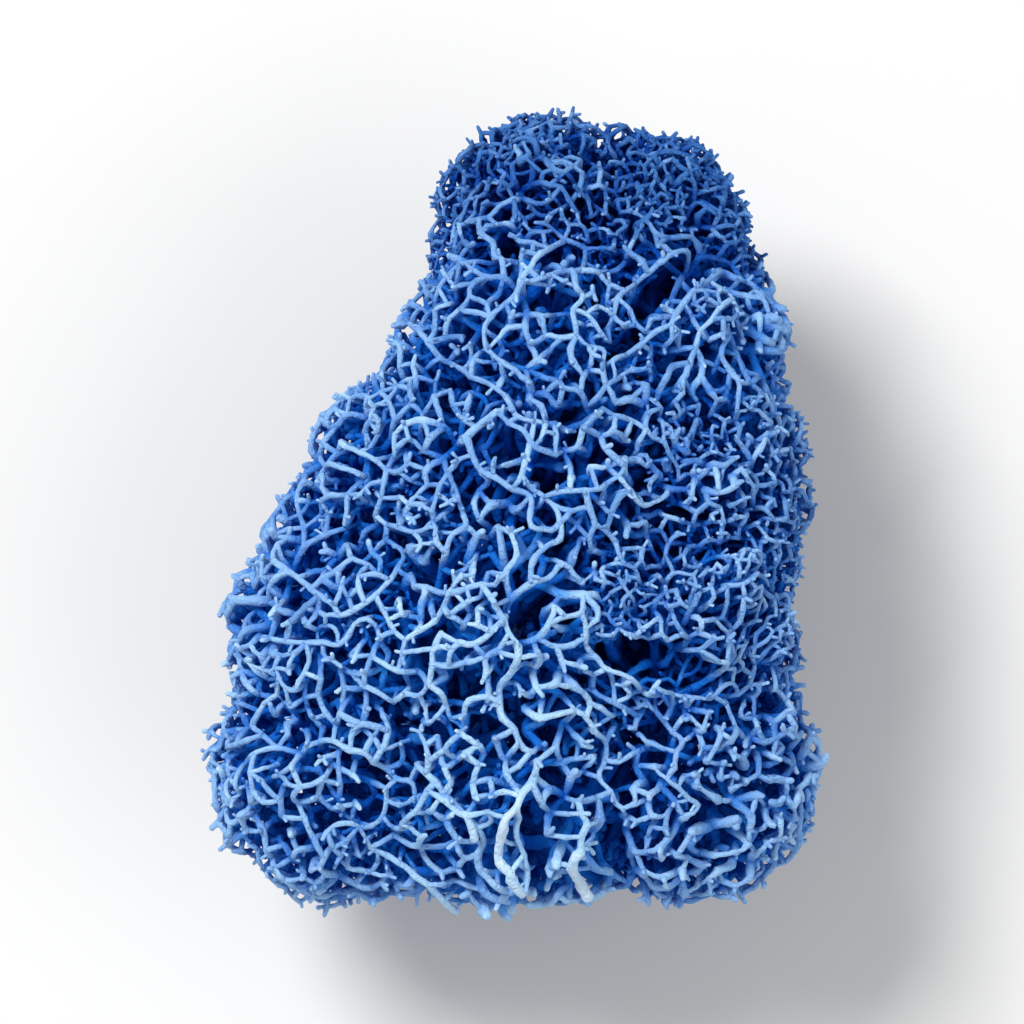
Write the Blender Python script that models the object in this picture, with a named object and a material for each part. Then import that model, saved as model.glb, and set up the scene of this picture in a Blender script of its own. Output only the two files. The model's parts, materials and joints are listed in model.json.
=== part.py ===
"""A clump of reindeer moss, the cushion-forming reindeer lichen, as picked and set down on its cut stalk ends.

The clump is a colony of separate upright stalks (podetia). Each one is a bent stalk that carries its own rounded
head of branchlets. The stalks crowd together at the bottom and lean apart upwards, and the heads press against
each other into one lumpy cushion. Every podetium is a solid of its own: a closed envelope of its stalk and head,
which keeps a narrow gap to the envelopes beside it.

Frame: metres, +Z up, +Y along the clump's longer side. The origin is under the middle of the clump, on the surface
that it rests on.
"""

import math

import bpy
import bmesh
from mathutils import Matrix, Vector, noise

MM = 0.001

# ---- driving dimensions ------------------------------------------------------------------------------------
APEX = Vector((0.0, -5.0, -24.0)) * MM  # the point below the surface that every stalk leans away from
GAP = 0.3 * MM  # clear space between neighbouring podetia
PRESS = 12.0  # how squarely a head flattens against the next one; higher is squarer
SEGMENTS = 18  # points round a podetium
RINGS = 18  # steps from the top of the head to the cut foot
HEAD_RINGS = 12  # of those, the steps that shape the head
HEAD_ANGLE = math.radians(156.0)  # how far the head's surface runs down before it turns into the stalk
DROP = 1.45  # a head reaches this much further down its stalk than up
STALK_RADIUS = 2.7 * MM  # the bare stalks of one podetium together, at their thinnest
FOOT_RADIUS = 3.3 * MM  # the cut foot
FOOT_ROUND = 0.7 * MM  # height of the foot's rounded edge
BEND = 0.5 * MM  # how far a stalk bows sideways between foot and head
LUMPS = 0.05  # unevenness of the cushion's surface, as a share of a head's radius
LUMP_SIZE = 5.0 * MM

# Each podetium: name, the middle of its head across the clump (x, y), the height that the head reaches, the head's
# radius across and up, all in millimetres, and the dye's depth from 0, pale, to 1, dark.
PODETIA = [
    ("podetium_01", 11.2, 24.2, 38.5, 10.4, 12.0, 0.90),
    ("podetium_02", 13.0, 13.8, 42.5, 11.8, 12.5, 0.45),
    ("podetium_03", 0.8, 14.4, 43.5, 11.8, 13.0, 0.40),
    ("podetium_04", 14.0, 2.2, 42.0, 12.2, 12.5, 0.60),
    ("podetium_05", 3.2, 3.2, 46.5, 12.6, 13.5, 0.45),
    ("podetium_06", -7.2, 3.0, 43.5, 12.2, 13.0, 0.35),
    ("podetium_07", -14.0, -9.2, 40.5, 12.4, 12.0, 0.25),
    ("podetium_08", -1.8, -9.8, 46.9, 12.8, 13.5, 0.10),
    ("podetium_09", 11.8, -9.6, 43.5, 13.0, 13.0, 0.55),
    ("podetium_10", -0.8, -23.0, 41.5, 12.8, 12.5, 0.15),
    ("podetium_11", 14.6, -22.2, 38.5, 12.8, 12.0, 0.50),
    ("podetium_12", -15.6, -22.2, 37.5, 12.8, 11.5, 0.30),
    ("podetium_13", 1.6, 26.2, 38.0, 10.0, 11.5, 0.80),
]

DYE_PALE = (0.150, 0.330, 0.680)
DYE_DARK = (0.020, 0.080, 0.300)
ROUGHNESS = 0.88


def clear_scene():
    for ob in list(bpy.data.objects):
        bpy.data.objects.remove(ob, do_unlink=True)


def collection(name):
    c = bpy.data.collections.new(name)
    bpy.context.scene.collection.children.link(c)
    return c


def dyed_lichen(name, depth):
    m = bpy.data.materials.new(name)
    m.use_nodes = True
    bsdf = m.node_tree.nodes["Principled BSDF"]
    rgb = [p + (d - p) * depth for p, d in zip(DYE_PALE, DYE_DARK)]
    bsdf.inputs["Base Color"].default_value = (*rgb, 1.0)
    bsdf.inputs["Roughness"].default_value = ROUGHNESS
    bsdf.inputs["Metallic"].default_value = 0.0
    m.diffuse_color = (*rgb, 1.0)
    return m


def across(direction):
    """Two unit vectors square to a direction, as +X and +Y lean over with it."""
    turn = Vector((0.0, 0.0, 1.0)).rotation_difference(direction)
    return turn @ Vector((1.0, 0.0, 0.0)), turn @ Vector((0.0, 1.0, 0.0))


def lean(x, y, head_height):
    """The direction from the apex to a head."""
    return (Vector((x * MM, y * MM, head_height * MM)) - APEX).normalized()


def egg(polar, wide, tall):
    """How far it is from the middle of a head to its own round surface, which is blunt on top and longer below."""
    reach = tall if math.cos(polar) > 0.0 else tall * DROP
    return 1.0 / math.hypot(math.sin(polar) / wide, math.cos(polar) / reach)


def envelope(number, specs, leans):
    """One podetium's closed envelope: a sphere whose rings are moved to the head, the stalk and the flat foot, each
    point held back to the podetium's own share of the space, a cone that opens from the apex."""
    name, x, y, top, wide, tall, _ = specs[number]
    d = leans[number]
    head = Vector((x, y, top - tall)) * MM
    foot = APEX + d * (-APEX.z / d.z)
    walls = [(d - other).normalized() for k, other in enumerate(leans) if k != number]
    wide, tall = wide * MM, tall * MM
    side = across(d)[number % 2]
    bow = BEND * (1 if number % 3 else -1)

    def outwards(centre, direction, radius):
        """The point that far from the centre, or less where a neighbour presses against it. The result is never
        past a wall, because it is below the least of the distances that go into it."""
        if radius <= 0.0:
            return centre.copy()
        pressed = radius**-PRESS
        for wall in walls:
            slope = -wall.dot(direction)
            if slope > 1e-6:
                room = (wall.dot(centre - APEX) - GAP / 2) / slope
                pressed += room**-PRESS
        return centre + direction * pressed ** (-1.0 / PRESS)

    def head_point(k, angle):
        """A point of the head's round surface, as seen from the middle of the head."""
        polar = HEAD_ANGLE * k / HEAD_RINGS
        e1, e2 = across(d)
        direction = d * math.cos(polar) + (e1 * math.cos(angle) + e2 * math.sin(angle)) * math.sin(polar)
        radius = egg(polar, wide, tall)
        seed = Vector((number * 7.31, number * 3.17, 1.7))
        lump = noise.noise((head + direction * radius) / LUMP_SIZE + seed)
        return outwards(head, direction, radius * (1.0 + LUMPS * lump))

    low = foot + d * (FOOT_ROUND / d.z)
    under = head + d * (tall * DROP * math.cos(HEAD_ANGLE))

    def ring_point(k, angle):
        if k <= HEAD_RINGS:
            return head_point(k, angle)
        if k >= RINGS - 1:  # the flat cut foot
            radius = FOOT_RADIUS if k == RINGS - 1 else 0.0
            direction = Vector((math.cos(angle), math.sin(angle), 0.0))
            p = outwards(foot, direction, radius)
            return Vector((p.x, p.y, 0.0))
        # the stalk, from under the head down to the foot's rounded edge
        steps = RINGS - 2 - HEAD_RINGS
        u = (k - HEAD_RINGS) / steps
        centre = under.lerp(low, u) + side * (bow * math.sin(math.pi * u))
        upper = (head_point(HEAD_RINGS, angle) - under).length
        flare = (1.0 - u) ** 3
        radius = STALK_RADIUS + (upper - STALK_RADIUS) * flare
        radius += (FOOT_RADIUS * 1.08 - STALK_RADIUS) * u**3
        e1, e2 = across(d.lerp(Vector((0.0, 0.0, 1.0)), u).normalized())
        direction = e1 * math.cos(angle) + e2 * math.sin(angle)
        return outwards(centre, direction, radius)

    bm = bmesh.new()
    bmesh.ops.create_uvsphere(
        bm, u_segments=SEGMENTS, v_segments=RINGS, radius=1.0
    )
    for v in bm.verts:
        polar = math.acos(max(-1.0, min(1.0, v.co.z)))
        k = round(polar / math.pi * RINGS)
        angle = math.atan2(v.co.y, v.co.x) if 0 < k < RINGS else 0.0
        v.co = ring_point(k, angle)
    bmesh.ops.triangulate(bm, faces=bm.faces, quad_method="SHORT_EDGE")
    bmesh.ops.recalc_face_normals(bm, faces=bm.faces)
    me = bpy.data.meshes.new(name)
    bm.to_mesh(me)
    bm.free()
    return me


def main():
    clear_scene()
    clump = collection("reindeer_moss_clump")
    leans = [lean(x, y, top - tall) for _, x, y, top, _, tall, _ in PODETIA]
    meshes = [envelope(k, PODETIA, leans) for k in range(len(PODETIA))]

    # The origin goes under the middle of the whole clump.
    every = [v.co for me in meshes for v in me.vertices]
    middle = Vector(
        (
            (min(p.x for p in every) + max(p.x for p in every)) / 2,
            (min(p.y for p in every) + max(p.y for p in every)) / 2,
            0.0,
        )
    )
    for me, spec in zip(meshes, PODETIA):
        me.transform(Matrix.Translation(-middle))
        me.shade_smooth()
        me.set_sharp_from_angle(angle=math.radians(50.0))
        ob = bpy.data.objects.new(spec[0], me)
        ob.data.materials.append(dyed_lichen(spec[0] + "_dyed", spec[6]))
        clump.objects.link(ob)


main()
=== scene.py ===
"""The looks of a clump of reindeer moss: every podetium is grown as real forked branchlets inside the space that its
plain envelope holds, and the whole is dyed, given painted shade where little light reaches, lit and seen from above."""

import heapq
import json
import math
import time

import bpy
import numpy as np
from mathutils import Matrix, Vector
from mathutils.kdtree import KDTree

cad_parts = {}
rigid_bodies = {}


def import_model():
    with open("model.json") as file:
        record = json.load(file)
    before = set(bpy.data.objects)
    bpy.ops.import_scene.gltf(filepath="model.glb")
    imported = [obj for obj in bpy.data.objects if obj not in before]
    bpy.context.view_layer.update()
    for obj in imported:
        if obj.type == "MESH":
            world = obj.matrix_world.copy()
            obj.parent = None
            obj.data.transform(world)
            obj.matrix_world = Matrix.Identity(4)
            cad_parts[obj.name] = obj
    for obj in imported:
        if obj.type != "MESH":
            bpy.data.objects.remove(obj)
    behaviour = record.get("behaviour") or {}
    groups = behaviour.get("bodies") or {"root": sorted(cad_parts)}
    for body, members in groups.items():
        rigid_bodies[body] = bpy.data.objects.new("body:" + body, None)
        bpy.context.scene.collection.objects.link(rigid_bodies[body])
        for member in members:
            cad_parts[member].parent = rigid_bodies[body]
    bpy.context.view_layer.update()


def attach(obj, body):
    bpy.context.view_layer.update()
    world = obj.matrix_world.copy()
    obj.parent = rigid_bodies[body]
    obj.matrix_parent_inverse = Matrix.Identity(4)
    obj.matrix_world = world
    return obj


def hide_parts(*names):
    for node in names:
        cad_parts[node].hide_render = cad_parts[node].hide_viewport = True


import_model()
clock = time.time()

# ------------------------------------------------------------------------------------------------------------
# The envelopes' design, in millimetres, as the solids were built
# ------------------------------------------------------------------------------------------------------------
APEX = np.array([0.0, -5.0, -24.0])
# name, middle of the head (x, y), height of the head's top, radius across, radius along, depth of the dye,
# fineness of the branchlets (1 = usual size), how many stalks stand at the foot
PODETIA = [
    ("podetium_01", 11.2, 24.2, 38.5, 10.4, 12.0, 1.00, 0.86, 5),
    ("podetium_02", 13.0, 13.8, 42.5, 11.8, 12.5, 0.38, 1.10, 5),
    ("podetium_03", 0.8, 14.4, 43.5, 11.8, 13.0, 0.35, 1.18, 5),
    ("podetium_04", 14.0, 2.2, 42.0, 12.2, 12.5, 0.52, 0.88, 5),
    ("podetium_05", 3.2, 3.2, 46.5, 12.6, 13.5, 0.40, 1.22, 5),
    ("podetium_06", -7.2, 3.0, 43.5, 12.2, 13.0, 0.34, 1.10, 5),
    ("podetium_07", -14.0, -9.2, 40.5, 12.4, 12.0, 0.24, 1.20, 5),
    ("podetium_08", -1.8, -9.8, 46.9, 12.8, 13.5, 0.00, 1.28, 5),
    ("podetium_09", 11.8, -9.6, 43.5, 13.0, 13.0, 0.42, 0.92, 5),
    ("podetium_10", -0.8, -23.0, 41.5, 12.8, 12.5, 0.05, 1.30, 5),
    ("podetium_11", 14.6, -22.2, 38.5, 12.8, 12.0, 0.27, 1.16, 5),
    ("podetium_12", -15.6, -22.2, 37.5, 12.8, 11.5, 0.27, 1.20, 5),
    ("podetium_13", 1.6, 26.2, 38.0, 10.0, 11.5, 0.92, 0.86, 5),
]
NAMES = [p[0] for p in PODETIA]
COUNT = len(PODETIA)
HANG = 1.36  # a head reaches this much further down than up
HEAD = np.array([[p[1], p[2], p[3] - p[5]] for p in PODETIA])
LEAN = HEAD - APEX
LEAN /= np.linalg.norm(LEAN, axis=1)[:, None]
WIDE = np.array([p[4] for p in PODETIA])
TALL = np.array([p[5] for p in PODETIA])
DYE = np.array([p[6] for p in PODETIA])
FINE = np.array([p[7] for p in PODETIA])
FOOT = APEX + LEAN * (-APEX[2] / LEAN[:, 2])[:, None]
WALLS = [
    np.array([(LEAN[i] - LEAN[j]) / np.linalg.norm(LEAN[i] - LEAN[j]) for j in range(COUNT) if j != i])
    for i in range(COUNT)
]


def shift_of_solids():
    """How far the solids lie from the design's own coordinates, from the flat foot of one of them."""
    me = bpy.data.objects[NAMES[4]].data
    flat = np.empty(len(me.vertices) * 3)
    me.vertices.foreach_get("co", flat)
    flat = flat.reshape(-1, 3) * 1000.0
    feet = flat[flat[:, 2] < 1e-3]
    middle = (feet.min(0) + feet.max(0)) / 2 - FOOT[4]
    return np.array([middle[0], middle[1], 0.0])


SHIFT = shift_of_solids()


def unit(v):
    return v / np.linalg.norm(v)


def all_depths(p):
    """How deep points lie under the surface of every head, one column a head; below 0 outside."""
    q = p[..., None, :] - HEAD
    along = (q * LEAN).sum(-1)
    across = np.maximum((q * q).sum(-1) - along * along, 0.0)
    reach = np.where(along > 0, TALL, TALL * HANG)
    return (1.0 - np.sqrt(across / WIDE**2 + (along / reach) ** 2)) * WIDE


BLEND = 1.8  # mm, how softly one head runs into the next


def joined_depth(p):
    """How deep points lie under the heads' common surface, which fills the creases between them."""
    depths = all_depths(p)
    high = depths.max(-1)
    return high + BLEND * np.log(np.exp((depths - high[..., None]) / BLEND).sum(-1)) - 0.2


def tufts():
    """Every head is made of smaller rounded tufts: where their tops are, spread evenly over the cushion's surface,
    and how wide they are."""
    pick = np.random.default_rng(5113)
    found, width = [], []
    for _ in range(9000):
        i = int(pick.integers(COUNT))
        d = unit(pick.normal(0, 1, 3))
        along = d @ LEAN[i]
        across = math.sqrt(max(1.0 - along * along, 0.0))
        reach = TALL[i] if along > 0 else TALL[i] * HANG
        p = HEAD[i] + d / math.hypot(across / WIDE[i], along / reach)
        if share_of(p) != i or wall_room(i, p) < 0.8:
            continue
        wide = pick.uniform(3.2, 5.4)
        if found and (np.linalg.norm(np.array(found) - p, axis=1) < 0.72 * (np.array(width) + wide)).any():
            continue
        found.append(p)
        width.append(wide)
    return np.array(found), np.array(width)


TUFT_RELIEF = 1.15  # mm, how deep the furrows between the tufts are


def furrow(p):
    """How far the surface lies back at points, from nothing at a tuft's top to the furrows between the tufts."""
    square = (p * p).sum(-1)[..., None] + (TUFT_AT * TUFT_AT).sum(-1) - 2.0 * (p @ TUFT_AT.T)
    return TUFT_RELIEF * np.minimum((square / TUFT_WIDE**2).min(-1), 1.5)


def cushion_depth(p):
    """How deep points lie under the surface of the whole cushion."""
    return joined_depth(p) - furrow(p)


def outward_at(i, p):
    """The direction out of the head's surface."""
    q = p - HEAD[i]
    along = q @ LEAN[i]
    across = q - LEAN[i] * along
    reach = TALL[i] if along > 0 else TALL[i] * HANG
    return unit(across / WIDE[i] ** 2 + LEAN[i] * along / reach**2 + 1e-6)


def wall_room(i, p):
    """The least distance from points to the sides of podetium i's own share of the space."""
    return ((p - APEX) @ WALLS[i].T).min(-1)


def share_of(p):
    """Which podetium's share of the space a point lies in."""
    return int(np.argmax(LEAN @ (p - APEX)))


TUFT_AT, TUFT_WIDE = tufts()
HEIGHTS = np.arange(48.5, 6.0, -0.1)


def on_surface(x, y, deep):
    """The point at (x, y) that lies so deep under the cushion's surface, and whose head it is on."""
    column = np.stack([np.full(len(HEIGHTS), x), np.full(len(HEIGHTS), y), HEIGHTS], 1) - SHIFT
    share = np.argmax((column - APEX) @ LEAN.T, 1)
    own = cushion_depth(column)
    hit = np.flatnonzero(own >= deep)
    k = int(hit[0]) if len(hit) else int(np.argmax(own))
    return column[k], int(share[k])


def coarseness(p):
    """The branchlets' size wanders over the cushion."""
    return 1.0 + 0.17 * (
        np.sin(p @ np.array([0.52, 0.31, 0.20]) + 0.7)
        + np.sin(p @ np.array([-0.33, 0.58, 0.27]) + 2.1)
        + np.sin(p @ np.array([0.21, -0.47, 0.61]) + 4.4)
        + 0.9 * np.sin(p @ np.array([1.13, 0.74, -0.52]) + 1.3)
    ) / 1.6


# ------------------------------------------------------------------------------------------------------------
# What is special about this clump, in millimetres from its middle as seen from above
# ------------------------------------------------------------------------------------------------------------
# Dark holes between the branchlets: x, y, radius, radius across, turn in degrees, how far down they go.
HOLES = [
    (12.4, 17.8, 3.4, 1.35, 56.0, 10.0),
    (9.6, 13.0, 2.4, 0.75, 40.0, 7.0),
    (3.7, 17.0, 1.7, 1.0, 0.0, 6.0),
    (3.7, 21.0, 2.2, 0.9, 28.0, 5.0),
    (7.3, 18.2, 0.9, 0.8, 0.0, 5.0),
    (-0.2, 21.5, 0.8, 1.3, 0.0, 5.0),
    (-3.7, 14.2, 1.5, 0.8, -45.0, 6.0),
    (4.0, 6.3, 2.0, 0.9, 0.0, 6.0),
    (-0.9, 3.5, 1.9, 1.6, 0.0, 3.6),
    (3.2, 1.0, 1.9, 0.9, -5.0, 6.0),
    (3.2, -2.4, 1.3, 0.8, 0.0, 5.0),
    (6.4, -1.3, 1.2, 0.6, 0.0, 4.0),
    (12.4, 3.6, 1.4, 0.7, 0.0, 6.0),
    (11.1, 1.0, 1.0, 1.2, 0.0, 6.0),
    (-14.4, 1.0, 0.9, 0.9, 0.0, 5.0),
    (-17.5, -5.4, 1.3, 0.8, -30.0, 5.0),
    (-7.2, -6.9, 0.9, 0.8, 0.0, 4.0),
    (-2.2, -6.7, 0.8, 0.8, 0.0, 4.0),
    (1.4, -11.0, 1.5, 1.0, 60.0, 7.0),
    (-4.0, -16.8, 1.9, 1.5, 0.0, 9.0),
    (1.2, -16.4, 0.9, 0.8, 0.0, 4.0),
    (5.2, -16.1, 0.9, 0.8, 0.0, 4.0),
    (-9.6, -19.2, 0.9, 0.9, 0.0, 5.0),
    (-6.6, -20.5, 0.9, 0.7, 0.0, 4.0),
    (-2.7, -20.8, 1.3, 0.8, -30.0, 5.0),
    (3.2, -20.7, 1.6, 0.9, 0.0, 5.0),
    (13.2, -15.2, 6.6, 1.9, -14.0, 4.6),
    (-13.4, -25.3, 1.3, 0.8, -30.0, 5.0),
    (1.9, -30.2, 1.0, 4.4, 12.0, 12.0),
    (8.8, -29.6, 1.3, 2.2, 10.0, 4.5),
    (19.0, -4.6, 1.1, 0.8, 0.0, 4.0),
    (20.6, 6.4, 1.6, 0.6, -60.0, 4.0),
]
HOLE_AT = np.array([[h[0], h[1]] for h in HOLES])
HOLE_R = np.array([[h[2], h[3]] for h in HOLES])
HOLE_TURN = np.radians([h[4] for h in HOLES])
HOLE_DOWN = np.array([h[5] for h in HOLES])
HOLE_CS = np.stack([np.cos(HOLE_TURN), np.sin(HOLE_TURN)], 1)
HOLE_FLOOR = np.array([on_surface(h[0], h[1], 0.3)[0][2] for h in HOLES]) - HOLE_DOWN


def in_hole(p):
    """Which points lie in one of the dark holes."""
    p = np.atleast_2d(p) + SHIFT
    dx = p[:, None, 0] - HOLE_AT[None, :, 0]
    dy = p[:, None, 1] - HOLE_AT[None, :, 1]
    u = (dx * HOLE_CS[:, 0] + dy * HOLE_CS[:, 1]) / HOLE_R[:, 0]
    v = (-dx * HOLE_CS[:, 1] + dy * HOLE_CS[:, 0]) / HOLE_R[:, 1]
    return ((u * u + v * v < 1.0) & (p[:, 2:3] > HOLE_FLOOR)).any(1)


# Branchlets that stand out on top: their radius, how deep they lie under the surface, and where they run.
STRANDS = [
    (0.30, [(15.4, 21.6), (13.0, 20.6), (10.6, 18.6), (9.2, 17.0), (8.6, 15.4)]),
    (0.32, [(18.2, 19.8), (15.6, 17.4), (13.6, 14.6), (11.4, 12.6), (8.8, 11.0)]),
    (0.30, [(19.0, 17.2), (17.2, 15.2), (15.8, 12.9)]),
    (0.32, [(0.9, 18.4), (2.1, 20.6), (4.6, 22.6), (6.3, 21.8), (5.8, 19.6), (3.6, 18.8), (1.4, 18.2)]),
    (0.30, [(5.0, 19.3), (5.9, 16.6), (5.2, 14.6), (6.4, 12.6)]),
    (0.30, [(0.9, 18.2), (-0.6, 16.2), (-2.0, 15.2), (-2.4, 12.4), (-1.0, 11.0)]),
    (0.31, [(-9.0, 15.6), (-6.4, 12.2), (-3.4, 10.0), (-0.6, 7.8), (0.6, 5.8)]),
    (0.36, [(-4.0, 4.2), (-1.1, 6.8), (1.7, 3.4), (4.0, 2.7)]),
    (0.34, [(-4.0, 4.2), (-2.4, 1.6), (-0.8, 0.2), (1.4, -1.0), (1.8, -3.6)]),
    (0.30, [(1.7, 3.4), (0.9, 1.0), (2.8, -0.8), (5.0, -0.4), (7.4, -0.2)]),
    (0.28, [(9.0, 6.0), (11.4, 5.4), (13.8, 3.2), (14.6, 1.0)]),
    (0.28, [(9.6, 2.6), (9.3, 0.6), (11.2, -1.2), (13.0, -0.6)]),
    (0.34, [(-8.4, -8.6), (-4.9, -9.2), (-2.4, -8.6), (-0.8, -11.6), (0.6, -14.6)]),
    (0.30, [(-4.9, -9.2), (-6.4, -11.8), (-9.2, -12.8)]),
    (0.33, [(-0.8, -11.6), (-3.0, -13.6), (-6.6, -14.2), (-7.2, -17.0)]),
    (0.36, [(0.6, -14.6), (-1.2, -17.2), (-0.6, -19.8), (1.6, -22.6)]),
    (0.32, [(-20.6, -5.4), (-17.4, -8.2), (-14.6, -10.6), (-11.6, -9.0), (-9.8, -6.6)]),
    (0.30, [(-19.6, -12.4), (-15.2, -13.0), (-12.4, -10.8)]),
    (0.29, [(-14.2, 4.2), (-11.0, 2.0), (-11.8, -2.0), (-8.6, -3.6)]),
    (0.31, [(-16.6, -21.0), (-13.0, -22.4), (-10.2, -24.4), (-11.4, -27.6)]),
    (0.29, [(5.6, -19.0), (8.2, -21.6), (7.6, -24.6), (9.8, -27.4)]),
    (0.29, [(12.4, -19.0), (14.8, -21.4), (13.6, -24.6), (16.0, -27.0)]),
    (0.36, [(-8.2, -23.6), (-5.0, -27.0), (-2.2, -30.2)]),
]
# The bare, pale branches that hang out over the clump's lower edge: their thickness where they leave the net and at
# their broken end, and where they run.
BARE = [
    (0.33, 0.50, [(2.4, -23.4), (1.5, -25.4), (0.4, -27.3), (-0.9, -29.0), (-1.3, -30.8), (-0.3, -32.3), (0.7, -34.1)]),
    (0.28, 0.52, [(5.6, -26.8), (6.5, -28.8), (5.7, -30.6), (4.8, -32.0), (6.2, -34.0)]),
    (0.26, 0.36, [(-12.2, -30.4), (-9.8, -31.4), (-7.2, -33.2), (-4.8, -34.4)]),
    (0.30, 0.42, [(-5.6, -26.6), (-4.0, -28.0), (-2.9, -29.9)]),
]


# ------------------------------------------------------------------------------------------------------------
# Growth
# ------------------------------------------------------------------------------------------------------------
rng = np.random.default_rng(20845)
SPACING = 1.22  # mm between neighbouring forks near the surface
SHORTEST = 1.18  # mm, a branchlet near the surface
THIN = 0.245  # mm, the radius of a branchlet near the surface


class Grid:
    """Points in cubes, so that the ones near a place are found fast."""

    def __init__(self, cell):
        self.cell = cell
        self.cubes = {}

    def add(self, p):
        c = self.cell
        key = (int(p[0] // c), int(p[1] // c), int(p[2] // c))
        self.cubes.setdefault(key, []).append((p[0], p[1], p[2]))

    def near(self, p, reach):
        c = self.cell
        x0, x1 = int((p[0] - reach) // c), int((p[0] + reach) // c)
        y0, y1 = int((p[1] - reach) // c), int((p[1] + reach) // c)
        z0, z1 = int((p[2] - reach) // c), int((p[2] + reach) // c)
        found = []
        get = self.cubes.get
        for x in range(x0, x1 + 1):
            for y in range(y0, y1 + 1):
                for z in range(z0, z1 + 1):
                    hit = get((x, y, z))
                    if hit:
                        found.extend(hit)
        return found


STALK, BRANCH, RAY, JOINED, STRAND, SPUR = 0, 1, 2, 3, 4, 5
SPURS = 0.34  # the share of branchlets near the surface that have a spur


class Tree:
    def __init__(self):
        self.pos = []
        self.parent = []
        self.radius = []
        self.pod = []
        self.kind = []

    def add(self, p, parent, radius, pod, kind):
        self.pos.append(p)
        self.parent.append(parent)
        self.radius.append(radius)
        self.pod.append(pod)
        self.kind.append(kind)
        return len(self.pos) - 1


tree = Tree()
GLOW = {}  # how much lighter in colour than the rest some nodes are
grid = Grid(2.0)


def cone_of_directions(direction, spread, count):
    """Random directions within an angle of a direction, evenly over the cap."""
    cosines = 1.0 - rng.random(count) * (1.0 - math.cos(spread))
    sines = np.sqrt(1.0 - cosines**2)
    turn = rng.random(count) * 2 * math.pi
    side = np.array([0.0, 1.0, 0.0]) if abs(direction[0]) > 0.8 else np.array([1.0, 0.0, 0.0])
    a = unit(np.cross(direction, side))
    b = np.cross(direction, a)
    return (
        direction[None, :] * cosines[:, None]
        + a[None, :] * (sines * np.cos(turn))[:, None]
        + b[None, :] * (sines * np.sin(turn))[:, None]
    )


def inner(depth):
    """0 in the outer layer that is seen, 1 in the dark inside, where the branches are thicker and further apart."""
    return np.clip((depth - 1.9) / 4.0, 0.0, 1.0)


def spacing_at(i, p, depth):
    low = 1.0 + 0.018 * np.clip(20.0 - p[..., 2], 0.0, 14.0)
    return SPACING * FINE[i] * coarseness(p) * (1.0 + 0.80 * inner(depth)) * low


def stalks(i, active):
    """The bare lower stalks of one podetium, from the cut foot up to where the head begins to fork."""
    n = PODETIA[i][8]
    axis = LEAN[i]
    neck = HEAD[i] - axis * (TALL[i] * HANG * 0.80)
    e1 = unit(np.cross(axis, [0.3, 1.0, 0.1]))
    e2 = np.cross(axis, e1)
    start_turn = rng.random() * 6.28
    tops = []
    for k in range(n):
        turn = start_turn + 2 * math.pi * k / n + rng.uniform(-0.3, 0.3)
        out = e1 * math.cos(turn) + e2 * math.sin(turn)
        flat = np.array([math.cos(turn), math.sin(turn), 0.0])
        r = rng.uniform(0.50, 0.78)
        here = FOOT[i] + flat * rng.uniform(1.35, 1.95)
        here[2] = 0.0
        last = tree.add(here, -1, r * rng.uniform(0.96, 1.08), i, STALK)
        last = tree.add(here + [0.0, 0.0, 0.5], last, r, i, STALK)  # it stands square on its cut end
        steps = 8
        wave = rng.uniform(0, 6.28, 2)
        for s in range(1, steps + 1):
            t = s / steps
            p = FOOT[i] + (neck - FOOT[i]) * t
            p = p + out * (1.6 + 0.9 * t)
            p = p + e1 * 0.45 * math.sin(5 * t + wave[0]) + e2 * 0.45 * math.sin(4 * t + wave[1])
            p = p + rng.uniform(-0.24, 0.24, 3)
            p[2] = max(p[2], 1.2)
            rr = r * (1.0 - 0.18 * t) * rng.uniform(0.90, 1.10)
            last = tree.add(p, last, rr, i, STALK)
            grid.add(p)
            grid.add((p + tree.pos[tree.parent[last]]) / 2)
            if t < 0.95 and rng.random() < 0.30:  # the stub of a dead side branch
                way = unit(out + rng.uniform(-0.9, 0.9, 3) + axis * 0.9)
                stub = p + way * (rr + rng.uniform(0.3, 1.7))
                if stub[2] > 0.6:
                    tree.add(stub, last, rr * rng.uniform(0.40, 0.62), i, RAY)
        way = unit(axis + out * 0.45)
        active.append((0, rng.random(), last, way, 3.4, rr * 0.9))
        tops.append(last)
    return tops


def follow(places, deep, step):
    """Points along a way over the cushion's surface, uneven as a grown branchlet."""
    points = []
    for a, b in zip(places, places[1:]):
        a, b = np.array(a), np.array(b)
        count = max(1, int(round(np.linalg.norm(b - a) / step)))
        points.extend(a + (b - a) * j / count for j in range(count))
    points.append(np.array(places[-1]))
    found = []
    for x, y in points:
        dx, dy = rng.uniform(-0.26, 0.26, 2)
        found.append(on_surface(x + dx, y + dy, deep + rng.uniform(-0.1, 0.22)))
    return found


def lay(points, radii, pod, last, active, forks):
    """Add a run of nodes that stand out, with side branchlets where they fork."""
    for k, p in enumerate(points):
        before = tree.pos[last]
        last = tree.add(p, last, radii[k], pod, STRAND)
        count = max(1, int(np.linalg.norm(p - before) / 0.8))
        for j in range(1, count + 1):
            grid.add(before + (p - before) * j / count)
        if forks[k]:
            d = unit(p - before)
            out = outward_at(pod, p)
            side = np.cross(d, out) * (1 if rng.random() < 0.5 else -1)
            way = unit(side + d * 0.5 + out * 0.1) if k + 1 < len(points) else d
            active.append((3, rng.random(), last, way, SHORTEST * 1.15, radii[k] * 0.92))
    return last


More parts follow.
